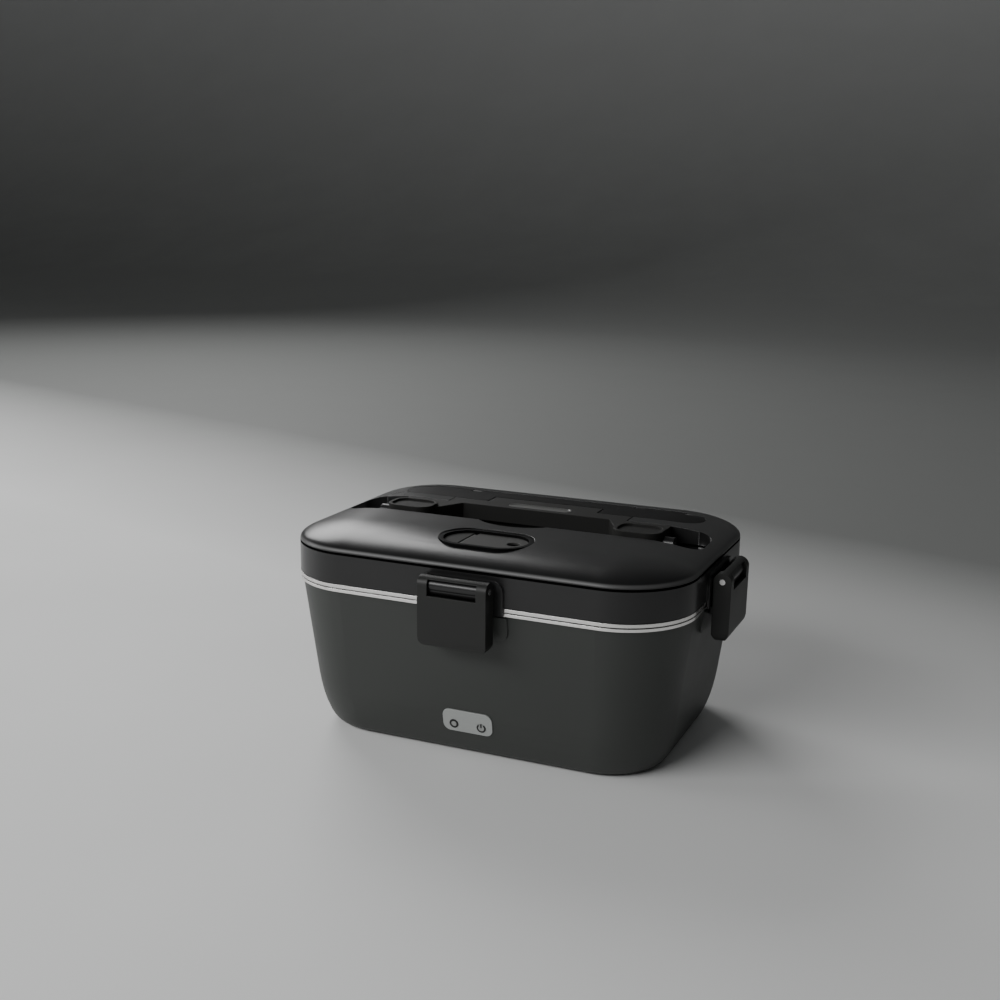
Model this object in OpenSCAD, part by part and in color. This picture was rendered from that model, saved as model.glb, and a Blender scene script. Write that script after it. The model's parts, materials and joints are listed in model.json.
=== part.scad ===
// Electric lunch box: a heated base, a steel food container that lifts out, and a lid
// that four pinned latches hold down. Millimetres, +Z up. The origin is the centre of the
// footprint, on the table that the feet stand on. The front is -Y, the right side +X.

/* [Overall] */
// Width of the box at the lid, without the latches
box_w = 232; // [193:1:290]
// Depth of the box at the lid, without the latches
box_d = 167; // [160:1:210]
// Radius of the upright corners at the lid
corner_r = 42; // [36:1:44]
// Height of the base shell's top edge above the table
shell_top = 86.7; // [80:0.1:110]
// Height that the feet hold the base off the table
foot_h = 1.2; // [0.8:0.1:3]

/* [Base shell] */
// How far the top edge of the shell lies inside the lid's outline
rim_inset = 1.9; // [1.8:0.1:3]
// Height at which the leaning wall starts to sweep further in
bend_h = 30; // [28:1:35]
// How far the wall lies inside the lid's outline at that height
bend_inset = 9; // [7.5:0.1:10]
// How much further the wall sweeps in at the bottom than its lean takes it
sweep_in = 5.7; // [4:0.1:7.5]
// Radius of the upright corners at the bottom of the shell
base_corner_r = 32.5; // [28:0.5:42]
// Wall thickness of the base shell
shell_t = 2.2; // [1.6:0.1:3]
// Thickness of the shell's floor rim
shell_floor_t = 4; // [3.4:0.1:6]
// How far the bottom cover's recess lies inside the lid's outline
cover_inset = 22; // [20:0.5:26]
// Width of the floor lip that the bottom cover bears on
cover_lip = 6; // [4:0.5:9]
// Thickness of the bottom cover
cover_t = 2; // [1.5:0.1:2.6]
// Diameter of a rubber foot
foot_d = 14; // [10:0.5:18]
// Depth of the recess that a rubber foot sits in
foot_seat = 1; // [0.5:0.1:1.4]

/* [Rim and container] */
// Height of the bright trim ring on the base shell
trim_h = 1.65; // [1.2:0.05:2.5]
// Thickness of the trim ring's inner shelf
trim_shelf_t = 0.8; // [0.6:0.05:1.1]
// Thickness of the inner liner's wall and floor
liner_t = 1.5; // [1.2:0.1:2.2]
// Thickness of the inner liner's flange
liner_flange_t = 1.5; // [1.2:0.1:2.2]
// Air gap between the base shell and the inner liner
liner_gap = 1; // [0.6:0.1:3]
// Play between the container and the inner liner
tub_gap = 0.8; // [0.5:0.1:1.5]
// Sheet thickness of the container
tub_t = 0.6; // [0.5:0.1:1]
// Height of the container's rolled rim
tub_rim_h = 1.9; // [1.5:0.1:3]
// Thickness of the container's flange inside its rolled rim
tub_flange_t = 0.8; // [0.5:0.1:1.2]
// Height of the container's underside above the table
tub_floor_h = 26.8; // [25:0.1:34]
// Radius of the container's bottom edge
tub_fillet = 9; // [6:0.5:12]

/* [Heater] */
// Length of the heater plate along the width of the box
plate_l = 146; // [120:1:150]
// Width of the heater plate
plate_w = 88; // [76:1:92]
// Thickness of the heater plate
plate_t = 2; // [1.5:0.1:3]
// Thickness of the seal under the heater plate
seal_t = 0.8; // [0.6:0.1:1.2]
// Length of one heating block
block_l = 66; // [50:1:72]
// Width of one heating block
block_w = 20; // [16:1:24]
// Thickness of one heating block
block_t = 6; // [5:0.5:7]
// Distance between the centres of the two heating blocks
block_pitch = 36; // [30:1:40]

/* [Lid] */
// Height of the lid's straight skirt
skirt_h = 17.7; // [14:0.1:24]
// Rise of the domed top above the skirt
crown_rise = 9.5; // [7:0.1:12]
// Wall thickness of the lid shell
lid_t = 2.2; // [1.8:0.1:2.8]
// How far the skirt lies inside the edge of the dome
skirt_inset = 0.5; // [0.3:0.1:1]
// Height of the dark groove under the edge of the dome
groove_h = 1; // [0.6:0.1:1.6]
// Thickness of the lid's inner plate
inner_plate_t = 1.6; // [1.2:0.1:2.2]
// Width of the lid gasket
gasket_w = 3.4; // [2.6:0.1:4]

/* [Latches] */
// Width of a latch
latch_w = 39.2; // [34:0.2:48]
// How far a latch stands out from the edge of the dome
latch_out = 11.4; // [11.4:0.1:15]
// Radius of a latch's rounded top, centred on its pin
latch_r = 5; // [4.7:0.1:5]
// Height of a latch's pin above the lid's lower edge
pin_up = 9.7; // [9:0.1:12]
// Length of a latch below its pin
latch_drop = 33.5; // [30:0.5:40]
// Wall thickness of a latch
latch_t = 2; // [1.6:0.1:2.4]
// Width of the lug that a latch turns on
lug_w = 27.2; // [22:0.2:30]
// Diameter of a latch pin
pin_d = 3.2; // [2.5:0.1:4]
// Width of the pad behind a latch
pad_w = 49; // [44:0.5:56]

/* [Lid top] */
// Length of the vent recess
vent_l = 54; // [46:0.5:58]
// Width of the vent recess
vent_w = 34; // [26:0.5:36]
// Distance from the front of the lid to the centre of the vent
vent_back = 32.5; // [31:0.5:37]
// Distance from the rear of the lid to the cutlery cover
cutlery_back = 26.5; // [24:0.5:34]
// Width of the cutlery cover at its ends
cutlery_w = 27; // [24:0.5:30]
// Distance from the side of the lid to the end of the cutlery cover
cutlery_end = 21; // [18:0.5:28]
// Depth of the cutlery compartment below the cover
cutlery_depth = 14; // [10:0.5:16]
// Width of the handle's bar at its ends
bar_w = 11.5; // [9:0.5:14]
// Extra width of the handle's bar at its middle
grip_w = 11; // [7:0.5:13]
// Thickness of the handle's bar
bar_t = 9.3; // [7:0.1:10]
// Length of a handle pad along the bar
handle_pad_l = 28; // [24:0.5:32]
// Width of a handle pad
handle_pad_w = 21; // [16:0.5:22]
// Distance from a handle pad's back to the front of the bar
pad_back = 8; // [4:0.5:9]
// Distance from the side of the lid to the end of the handle channel
channel_end = 8; // [7:0.5:14]
// Room in the channel beyond each handle pad
channel_room = 24; // [14:0.5:28]
// Finger room in the channel in front of the handle's bar
finger_room = 33.5; // [26:0.5:36]
// Depth of the channel below the top of the lid
channel_depth = 15; // [12:0.5:17]

/* [Power] */
// Width of the indicator plate
badge_w = 29.2; // [24:0.2:40]
// Height of the indicator plate
badge_h = 13.2; // [12:0.2:22]
// Height of the indicator plate's centre above the table
badge_z = 20.6; // [17:0.1:26]
// Distance between the two lamps
lamp_pitch = 16.2; // [12:0.2:20]
// Diameter of a lamp lens
lamp_d = 4.6; // [3:0.1:6]
// Distance of the power inlet's middle from the side of the box
inlet_in = 70; // [66:1:90]
// Width of the power inlet
inlet_w = 26; // [22:0.5:32]
// Height of the power inlet
inlet_h = 14.6; // [12:0.2:15.5]
// Length of the power inlet
inlet_l = 20; // [16:0.5:26]

/* [Hidden] */
$fn = 64;

// Play between pieces that rest beside each other
play = 0.3;
// Radial play of a pin that something turns on
pin_play = 0.06;
// Radial play of a pin or screw that is held fast
held_play = 0.02;
// Overlap of a cut past the face that it opens
cut = 1;

// Steps along each quarter turn of a lofted corner
corner_steps = 10;
// Steps along the swept lower wall
sweep_steps = 7;
// Steps along the dome's quarter ellipse
crown_steps = 12;

// Heights of the stack at the rim, from the shell's top edge up
trim_top = shell_top + trim_h;
liner_seat = shell_top + trim_shelf_t;
tub_seat = liner_seat + liner_flange_t;
tub_rim_top = tub_seat + tub_rim_h;
lid_edge = tub_rim_top + play;
crease_h = lid_edge + skirt_h;
lid_top = crease_h + crown_rise;

// Heights of the stack at the heater, from the container's underside down
plate_top = tub_floor_h - play;
plate_under = plate_top - plate_t;
liner_floor_top = plate_under - seal_t;
liner_floor = liner_floor_top - liner_t;
block_under = plate_under - block_t;
cover_top = foot_h + cover_t;
shell_floor_top = foot_h + shell_floor_t;

// Half lengths of the lid's straight sides
side_x = box_w / 2 - corner_r;
side_y = box_d / 2 - corner_r;

// How far each wall of the nest lies inside the base's outer form
liner_out = shell_t + liner_gap;
liner_in = liner_out + liner_t;
tub_out = liner_in + tub_gap;
tub_in = tub_out + tub_t;

// Inset of the base's outer form at a height
function body_inset(z) =
    let (
        leaned = (shell_top - z) / (shell_top - bend_h) * (bend_inset - rim_inset),
        down = max(0, (bend_h - z) / (bend_h - foot_h))
    )
    rim_inset + leaned + sweep_in * (1 - sqrt(max(0, 1 - pow(down, 2))));
// Corner radius of the base's outer form at a height
function body_corner(z) =
    let (top_r = corner_r - rim_inset)
    top_r + (base_corner_r - top_r) * (shell_top - z) / (shell_top - foot_h);
// Lean of the base's wall from upright at a height, in degrees
function body_lean(z) = atan(body_inset(z - 0.5) - body_inset(z + 0.5));

// Points of a quarter circle
function corner_arc(x, y, r, start) = [
    for (k = [0 : corner_steps])
        let (a = start + 90 * k / corner_steps)
            [x + r * cos(a), y + r * sin(a)]
];
// Outline of the base's outer form at a height, moved in by a depth
function form_ring(z, depth) =
    let (
        a = box_w / 2 - body_inset(z) - depth,
        b = box_d / 2 - body_inset(z) - depth,
        r = max(body_corner(z) - depth, 8)
    )
    concat(
        corner_arc(a - r, b - r, r, 0), corner_arc(r - a, b - r, r, 90),
        corner_arc(r - a, r - b, r, 180), corner_arc(a - r, r - b, r, 270)
    );

// Solid between rings; each level is a height and a depth inside the outer form
module loft(levels) {
    rings = [for (level = levels) form_ring(level[0], level[1])];
    n = len(rings[0]);
    points = [for (i = [0 : len(levels) - 1]) for (p = rings[i]) [p[0], p[1], levels[i][0]]];
    walls = [
        for (i = [0 : len(levels) - 2]) for (j = [0 : n - 1])
            let (a = i * n + j, b = i * n + (j + 1) % n)
                each [[a, a + n, b + n], [a, b + n, b]]
    ];
    top = (len(levels) - 1) * n;
    polyhedron(
        points = points,
        faces = concat(walls, [[for (j = [0 : n - 1]) j]], [[for (j = [n - 1 : -1 : 0]) top + j]])
    );
}

// Heights along the swept wall, from the floor of the form to a top
function sweep_heights(floor_z, top_z) = concat(
    [floor_z],
    [
        for (k = [sweep_steps : -1 : 1])
            let (z = bend_h - (bend_h - foot_h) * sin(90 * k / sweep_steps))
                if (z > floor_z + 0.5) z
    ],
    [bend_h, top_z]
);

// Flat rounded rectangle with true arcs at its corners
module round_rect(w, d, r) {
    square([w - 2 * r, d], center = true);
    square([w, d - 2 * r], center = true);
    for (x = [r - w / 2, w / 2 - r]) for (y = [r - d / 2, d / 2 - r])
        translate([x, y]) circle(r);
}
// The lid's outline moved in by an inset
module lid_outline(inset) {
    round_rect(box_w - 2 * inset, box_d - 2 * inset, corner_r - inset);
}
// Ring between two insets of the lid's outline, from one height to another
module rim_ring(outer, inner, z0, z1) {
    translate([0, 0, z0]) linear_extrude(z1 - z0) difference() {
        lid_outline(outer);
        lid_outline(inner);
    }
}
// Flat shape with round ends along X
module stadium(l, w) {
    square([l - w, w], center = true);
    for (x = [(w - l) / 2, (l - w) / 2]) translate([x, 0]) circle(w / 2);
}

// The sides of the box: a name's turn about Z and the distance of its wall from the middle
SIDES = [
    ["front", 0, box_d / 2], ["right", 90, box_w / 2],
    ["back", 180, box_d / 2], ["left", 270, box_w / 2]
];
// Places children drawn for the front wall on a side, with the lid's edge at y = 0
module on_side(i) {
    rotate([0, 0, SIDES[i][1]]) translate([0, -SIDES[i][2], 0]) children();
}
// Places children on the base's wall at a height: -Y is outwards and Z runs up the wall
module on_wall(i, z) {
    on_side(i) translate([0, body_inset(z), z]) rotate([body_lean(z), 0, 0]) children();
}
// Draws an outline that lies in the XZ plane, from one y to another
module slab(y0, y1) {
    translate([0, y1, 0]) rotate([90, 0, 0]) linear_extrude(y1 - y0) children();
}

/* Base shell */

// Places of the cover screws and of the feet
screw_places = [for (x = [-1, 1]) for (y = [-1, 1]) [x * (box_w / 2 - 52), y * (box_d / 2 - 37)]];
foot_places = [for (x = [-1, 1]) for (y = [-1, 1]) [x * (box_w / 2 - 42), y * (box_d / 2 - 46)]];
cover_screw_r = 1.5;
cover_head_r = 3;
cover_head_h = 1.2;
cover_boss_r = 4;

// Pads and catches on the shell
body_pad_w = pad_w + 3;
body_pad_top = shell_top - 1;
body_pad_h = 13.4;
pad_proud = 1.2;
catch_w = 26;
catch_out = 4;
catch_z = lid_edge + pin_up - latch_drop + 13.3;

// The indicator plate's seat
badge_t = 1.2;
badge_proud = 0.5;
badge_r = 4.2;
lamp_drop = 2;
lamp_play = 0.1;

inlet_x = box_w / 2 - inlet_in;
inlet_front = body_inset(shell_floor_top);
inlet_play = 0.2;

module base_shell() {
    color([0.2, 0.21, 0.2]) {
        difference() {
            union() {
                loft([for (z = sweep_heights(foot_h, shell_top)) [z, 0]]);
                for (i = [0 : 3]) body_pad(i);
            }
            loft(concat(
                [for (z = sweep_heights(shell_floor_top, shell_top + cut)) [z, shell_t]]
            ));
            translate([0, 0, shell_floor_top - shell_floor_t - cut])
                linear_extrude(shell_floor_t + 4 * cut)
                    form_plate(cover_inset + cover_lip);
            translate([0, 0, foot_h - cut]) linear_extrude(cover_t + cut) form_plate(cover_inset);
            on_wall(0, badge_z) badge_seat();
            translate([inlet_x, box_d / 2, shell_floor_top]) inlet_window();
        }
        for (p = board_posts) on_wall(0, badge_z) translate([p, 0, 0]) board_post();
    }
}
// Rounded rectangle at an inset, with the corner radius of the shell's bottom
module form_plate(inset) {
    round_rect(
        box_w - 2 * inset, box_d - 2 * inset,
        base_corner_r - (inset - body_inset(foot_h))
    );
}
// Pad behind a latch, with the catch that the latch's hook goes under
module body_pad(i) {
    pad_mid = body_pad_top - body_pad_h / 2;
    pad_corner = 5;
    on_wall(i, pad_mid) slab(-pad_proud, shell_t / 2) {
        translate([0, pad_corner / 2]) square([body_pad_w, body_pad_h - pad_corner], center = true);
        square([body_pad_w - 2 * pad_corner, body_pad_h], center = true);
        for (x = [-1, 1]) translate([x * (body_pad_w / 2 - pad_corner), pad_corner - body_pad_h / 2])
            circle(pad_corner);
    }
    on_side(i) translate([-catch_w / 2, 0, 0]) rotate([90, 0, 90]) linear_extrude(catch_w)
        polygon([
            [body_inset(catch_z) + shell_t / 2, catch_z], [-catch_out, catch_z],
            [-catch_out, catch_z + 2.2], [body_inset(catch_z + 4.6) + shell_t / 2, catch_z + 4.6]
        ]);
}
// Recess for the indicator plate and the bores for the two lamps
module badge_seat() {
    translate([0, -2, 0]) slab(0, badge_t - badge_proud + 2)
        round_rect(badge_w + 2 * lamp_play, badge_h + 2 * lamp_play, badge_r + lamp_play);
    for (x = [-1, 1]) translate([x * lamp_pitch / 2, 0, -lamp_drop]) rotate([90, 0, 0])
        cylinder(r = lamp_d / 2 + lamp_play, h = 20, center = true);
}
// Opening in the rear wall for the power inlet
module inlet_window() {
    translate([0, 0, inlet_h / 2]) slab(-inlet_front - 4, cut)
        square([inlet_w + 2 * inlet_play, inlet_h + 2 * inlet_play], center = true);
}

module bottom_cover() {
    color([0.13, 0.13, 0.13]) difference() {
        translate([0, 0, foot_h]) linear_extrude(cover_t) form_plate(cover_inset + play);
        for (p = foot_places) translate([p[0], p[1], foot_h - cut])
            cylinder(d = foot_d + 0.2, h = foot_seat + cut);
        for (p = screw_places) translate([p[0], p[1], 0]) {
            cylinder(r = cover_screw_r + 0.1, h = 20);
            translate([0, 0, foot_h - cut]) cylinder(r = cover_head_r + 0.2, h = cover_head_h + cut);
        }
        vent_slots();
    }
}
// Rows of cooling slots in the bottom cover
module vent_slots() {
    slot_l = 22;
    slot_w = 2.4;
    for (k = [-3 : 3]) translate([k * 7, 0, foot_h - cut]) linear_extrude(cover_t + 2 * cut)
        rotate([0, 0, 90]) stadium(slot_l, slot_w);
}

module rubber_feet() {
    color([0.08, 0.08, 0.08]) for (p = foot_places) translate([p[0], p[1], 0]) {
        edge = 0.6;
        cylinder(d1 = foot_d - 2 * edge, d2 = foot_d, h = edge);
        translate([0, 0, edge]) cylinder(d = foot_d, h = foot_h + foot_seat - edge);
    }
}

// Countersunk-head screw that points up, with its head's underside at z = 0
module screw(r, head_r, head_h, l) {
    difference() {
        translate([0, 0, -head_h]) cylinder(r = head_r, h = head_h);
        translate([0, 0, -head_h - cut]) cross_slot(head_r, head_h * 0.55 + cut);
    }
    cylinder(r = r, h = l);
}
// Cross recess in a screw's head
module cross_slot(head_r, h) {
    for (a = [0, 90]) rotate([0, 0, a])
        translate([-head_r * 0.6, -head_r * 0.12, 0]) cube([head_r * 1.2, head_r * 0.24, h]);
}
module cover_screws() {
    color("silver") for (p = screw_places) translate([p[0], p[1], foot_h + cover_head_h])
        screw(cover_screw_r - held_play, cover_head_r, cover_head_h, 12);
}

/* Rim */

module trim_ring() {
    color([0.85, 0.85, 0.86]) {
        rim_ring(skirt_inset, rim_inset + 0.5, shell_top, trim_top);
        rim_ring(rim_inset + 0.5, rim_inset + liner_out - 2 * play, shell_top, liner_seat);
    }
}

module inner_liner() {
    color([0.12, 0.12, 0.12]) difference() {
        union() {
            loft(concat(
                [[liner_floor, liner_out + tub_fillet / 2], [liner_floor + tub_fillet / 2, liner_out]],
                [for (z = [bend_h, liner_seat + liner_flange_t / 2]) [z, liner_out]]
            ));
            rim_ring(rim_inset + 0.8, rim_inset + liner_out + liner_t, liner_seat, tub_seat);
            for (p = screw_places) translate([p[0], p[1], cover_top])
                cylinder(r = cover_boss_r, h = liner_floor - cover_top + liner_t / 2);
        }
        loft(concat(
            [[liner_floor_top, liner_in + tub_fillet / 2], [liner_floor_top + tub_fillet / 2, liner_in]],
            [for (z = [bend_h, tub_seat + cut]) [z, liner_in]]
        ));
        translate([0, 0, liner_floor - cut]) linear_extrude(liner_t + 2 * cut)
            round_rect(plate_l - 12, plate_w - 12, 12);
        for (p = screw_places) translate([p[0], p[1], 0]) cylinder(r = cover_screw_r, h = cover_top + 12);
    }
}

module food_container() {
    color([0.78, 0.78, 0.8]) difference() {
        union() {
            loft(concat(
                tub_levels(tub_floor_h, tub_out, tub_fillet),
                [[tub_seat + tub_flange_t / 2, tub_out]]
            ));
            rim_ring(skirt_inset - 0.1, skirt_inset + tub_rim_h - 0.1, tub_seat, tub_rim_top);
            rim_ring(
                skirt_inset + tub_rim_h - 0.1, rim_inset + tub_out + 1.5,
                tub_seat, tub_seat + tub_flange_t
            );
        }
        loft(concat(
            tub_levels(tub_floor_h + tub_t, tub_in, tub_fillet - tub_t),
            [[tub_rim_top + cut, tub_in]]
        ));
    }
}
// Levels of a container's rounded bottom edge
function tub_levels(floor_z, depth, fillet) = [
    for (k = [0 : 4])
        let (a = 90 * k / 4)
            [floor_z + fillet * (1 - cos(a)), depth + fillet * (1 - sin(a))]
];

/* Heater */

module heater_plate() {
    color([0.75, 0.75, 0.76]) translate([0, 0, plate_under]) difference() {
        linear_extrude(plate_t) round_rect(plate_l, plate_w, 16);
        for (p = clamp_screw_places) translate([p[0], p[1], -cut])
            cylinder(r = 1.25, h = plate_t - 0.6 + cut);
    }
}
module plate_seal() {
    color([0.75, 0.3, 0.2]) translate([0, 0, liner_floor_top]) linear_extrude(seal_t) difference() {
        round_rect(plate_l, plate_w, 16);
        round_rect(plate_l - 8, plate_w - 8, 12);
    }
}
module heating_blocks() {
    color([0.82, 0.82, 0.8]) for (y = [-1, 1]) difference() {
        translate([-block_l / 2, y * block_pitch / 2 - block_w / 2, block_under])
            cube([block_l, block_w, block_t]);
        for (z = [-1, 1])
            translate([0, y * block_pitch / 2 + z * block_w / 4, block_under + block_t / 2])
                rotate([0, 90, 0]) cylinder(d = 2.2, h = block_l + 2 * cut, center = true);
    }
}
clamp_t = 1.2;
clamp_x = block_l / 2 - 12;
clamp_screw_places = [for (x = [-1, 1]) [x * clamp_x, 0]];
// Two steel straps that hold both heating blocks against the plate
module heater_clamp() {
    strap_w = 9;
    strap_l = block_pitch + block_w;
    color([0.6, 0.6, 0.62]) for (p = clamp_screw_places) difference() {
        translate([p[0] - strap_w / 2, -strap_l / 2, block_under - clamp_t])
            cube([strap_w, strap_l, clamp_t]);
        translate([p[0], p[1], block_under - clamp_t - cut]) cylinder(r = 1.35, h = clamp_t + 2 * cut);
    }
}
module clamp_screws() {
    color("silver") for (p = clamp_screw_places) translate([p[0], p[1], block_under - clamp_t])
        screw(1.23, 2.6, 1.2, block_t + clamp_t + plate_t - 0.8);
}
// Board of heat insulation that rests on the bottom cover's ribs, below the straps
module insulation_board() {
    board_t = 2;
    board_l = box_w - 2 * (cover_inset + cover_lip) - 24;
    board_w = 64;
    color([0.8, 0.78, 0.7]) translate([0, 0, cover_top]) difference() {
        linear_extrude(board_t) round_rect(board_l - 40, board_w, 6);
        translate([0, 0, -cut]) linear_extrude(board_t + 2 * cut)
            for (k = [-3 : 3]) translate([k * 7, 0]) rotate([0, 0, 90]) stadium(22, 2.4);
    }
}
thermostat_x = block_l / 2 + 14;
thermostat_r = 8;
thermostat_h = 7;
module thermostat() {
    color([0.85, 0.83, 0.78]) translate([thermostat_x, 0, plate_under - thermostat_h]) {
        cylinder(r = thermostat_r, h = thermostat_h);
        for (y = [-1, 1]) translate([-3, y * (thermostat_r + 1.5) - 3, thermostat_h - 1.2])
            cube([6, 6, 1.2]);
        for (y = [-1, 1]) translate([-2, y * 4.5 - 0.4, -5]) cube([4, 0.8, 5]);
    }
}
fuse_x = -block_l / 2 - 13;
fuse_r = 2.2;
module thermal_fuse() {
    color([0.85, 0.8, 0.6]) translate([fuse_x, 0, plate_under - fuse_r]) rotate([90, 0, 0]) {
        cylinder(r = fuse_r, h = 12, center = true);
        cylinder(r = 0.6, h = 24, center = true);
    }
}

/* Indicator */

module indicator_plate() {
    color([0.72, 0.74, 0.73]) on_wall(0, badge_z) difference() {
        translate([0, 0, 0]) slab(-badge_proud, badge_t - badge_proud) round_rect(badge_w, badge_h, badge_r);
        for (x = [-1, 1]) translate([x * lamp_pitch / 2, 0, -lamp_drop]) rotate([90, 0, 0])
            cylinder(r = lamp_d / 2 + lamp_play, h = 20, center = true);
    }
}
board_gap_y = 5.4;
board_posts = [-12, 12];
board_w = 28;
board_h = 9;
board_t = 1.2;
board_z = -lamp_drop - 2.2;
post_z = board_z - 2.2;
lens_l = badge_proud + 0.2 + board_gap_y - 1.6;
// Round lens that shines through the plate and the wall
module lens(x) {
    on_wall(0, badge_z) translate([x, -badge_proud - 0.2, -lamp_drop]) rotate([-90, 0, 0])
        cylinder(r = lamp_d / 2, h = lens_l);
}
module lamp_lens() { color([0.75, 0.15, 0.12]) lens(-lamp_pitch / 2); }
module power_mark_lens() { color([0.3, 0.3, 0.3]) lens(lamp_pitch / 2); }
// Post inside the wall that the lamp board is screwed to
module board_post() {
    translate([0, badge_t - badge_proud + 0.4, post_z]) rotate([-90, 0, 0]) difference() {
        cylinder(r = 1.8, h = board_gap_y - badge_t + badge_proud - 0.4);
        translate([0, 0, 2]) cylinder(r = 0.8, h = board_gap_y);
    }
}
module lamp_board() {
    color([0.15, 0.4, 0.2]) on_wall(0, badge_z) {
        difference() {
            translate([0, 0, board_z]) slab(board_gap_y, board_gap_y + board_t)
                square([board_w, board_h], center = true);
            for (x = board_posts) translate([x, board_gap_y, post_z]) rotate([90, 0, 0])
                cylinder(r = 0.9, h = 10, center = true);
        }
        for (x = [-1, 1]) translate([x * lamp_pitch / 2, board_gap_y, -lamp_drop]) rotate([90, 0, 0])
            cylinder(r = 1.5, h = 1.3);
    }
}
module board_screws() {
    color("silver") on_wall(0, badge_z) for (x = board_posts)
        translate([x, board_gap_y + board_t, post_z]) rotate([90, 0, 0]) screw(0.78, 1.6, 0.8, 3.2);
}

/* Power inlet */

inlet_face = box_d / 2 - inlet_front;
inlet_z = shell_floor_top + inlet_h / 2;
pin_pitch = 8.6;
socket_depth = 13;
module inlet_housing() {
    color([0.1, 0.1, 0.1]) difference() {
        translate([inlet_x, 0, inlet_z]) slab(inlet_face - inlet_l, inlet_face)
            square([inlet_w, inlet_h], center = true);
        translate([inlet_x, 0, inlet_z]) slab(inlet_face - socket_depth, inlet_face + cut)
            stadium(15.6, 8.4);
        for (x = [-1, 1]) translate([inlet_x + x * pin_pitch / 2, inlet_face - inlet_l / 2, inlet_z])
            rotate([90, 0, 0]) cylinder(d = 2.4 + 2 * held_play, h = inlet_l + 2 * cut, center = true);
    }
}
// Two contact pins that also carry the solder tails behind the housing
module inlet_pins() {
    color("gold") for (x = [-1, 1])
        translate([inlet_x + x * pin_pitch / 2, inlet_face - 3, inlet_z]) rotate([90, 0, 0])
            cylinder(d = 2.4, h = inlet_l + 1);
}

// Tube with flat ends along a list of points, as one closed skin
module lead(path, d) {
    sides = 8;
    n = len(path);
    dirs = [for (i = [0 : n - 1])
        let (v = path[min(i + 1, n - 1)] - path[max(i - 1, 0)]) v / norm(v)];
    points = [for (i = [0 : n - 1])
        let (
            t = dirs[i],
            flat = [t[1], -t[0], 0],
            s = norm(flat) > 0.2 ? flat / norm(flat) : [1, 0, 0],
            u = cross(s, t)
        )
        for (k = [0 : sides - 1])
            path[i] + d / 2 * (cos(360 * k / sides) * s + sin(360 * k / sides) * u)
    ];
    walls = [for (i = [0 : n - 2]) for (k = [0 : sides - 1])
        let (a = i * sides + k, b = i * sides + (k + 1) % sides)
            each [[a, a + sides, b + sides], [a, b + sides, b]]
    ];
    top = (n - 1) * sides;
    polyhedron(
        points = points,
        faces = concat(walls, [[for (k = [0 : sides - 1]) k]], [[for (k = [sides - 1 : -1 : 0]) top + k]])
    );
}
// Smooth curve through chosen points
function smooth(p, steps) = concat(
    [for (i = [0 : len(p) - 2]) for (k = [0 : steps - 1])
        let (
            t = k / steps,
            p0 = p[max(i - 1, 0)], p1 = p[i], p2 = p[i + 1], p3 = p[min(i + 2, len(p) - 1)]
        )
        0.5 * (2 * p1 + (p2 - p0) * t + (2 * p0 - 5 * p1 + 4 * p2 - p3) * t * t
            + (3 * p1 - p0 - 3 * p2 + p3) * t * t * t)
    ],
    [p[len(p) - 1]]
);
lead_d = 1.8;
lead_z = 11.5;
tail_y = inlet_face - inlet_l - 4;
// From the inlet round the heater to the fuse
module live_lead() {
    color([0.7, 0.2, 0.15]) lead(smooth([
        [inlet_x - pin_pitch / 2, tail_y - 0.4, inlet_z], [inlet_x - 8, tail_y - 7, lead_z],
        [20, 37, lead_z], [-20, 37, lead_z], [fuse_x - 6, 30, lead_z + 1],
        [fuse_x, 17, plate_under - fuse_r - 1], [fuse_x, 12.2, plate_under - fuse_r]
    ], 5), lead_d);
}
// From the inlet to the thermostat
module neutral_lead() {
    color([0.2, 0.3, 0.6]) lead(smooth([
        [inlet_x + pin_pitch / 2, tail_y - 0.4, inlet_z], [inlet_x + 3, tail_y - 8, lead_z],
        [thermostat_x + 8, 24, lead_z - 1], [thermostat_x, 13, lead_z - 1.5],
        [thermostat_x, 5.2, lead_z + 0.6]
    ], 5), lead_d);
}
// Pair of thin leads from the lamp board to the heater
module lamp_leads() {
    board_y = body_inset(badge_z) - box_d / 2 + board_gap_y + board_t;
    color([0.75, 0.72, 0.6]) for (x = [-3, 3]) lead(smooth([
        [x, board_y + 1.4, badge_z - 4], [x, board_y + 6, 13.5], [2 * x, -40, lead_z],
        [3 * x, -32, lead_z + 1.5], [3 * x, -block_pitch / 2 - block_w / 2 - 0.7, block_under + 3]
    ], 5), 1.2);
}

/* Lid */

skirt_in = skirt_inset + lid_t;
plate_seat_z = lid_edge + 2.4;
plate_back_z = plate_seat_z + inner_plate_t;
pivot_out = latch_out - latch_r;
pin_z = lid_edge + pin_up;

// Chain along Y on the lid's top, from the back edge to the front of the channel
cover_back = box_d / 2 - cutlery_back;
cover_front = cover_back - cutlery_w;
bar_back = cover_front - 0.5;
bar_front = bar_back - bar_w;
pad_front = bar_front - pad_back - handle_pad_w;
pivot_y = pad_front + handle_pad_w / 2;
channel_front = bar_front - finger_room;
channel_back = bar_front + 2;
mid_back = bar_back + grip_w;

// Chain along X on the lid's top
channel_half = box_w / 2 - channel_end;
pad_outer = channel_half - channel_room;
bar_half = pad_outer - handle_pad_l;
grip_step = 21.8;
mid_half = bar_half - grip_step;
cover_half = box_w / 2 - cutlery_end;

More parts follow.
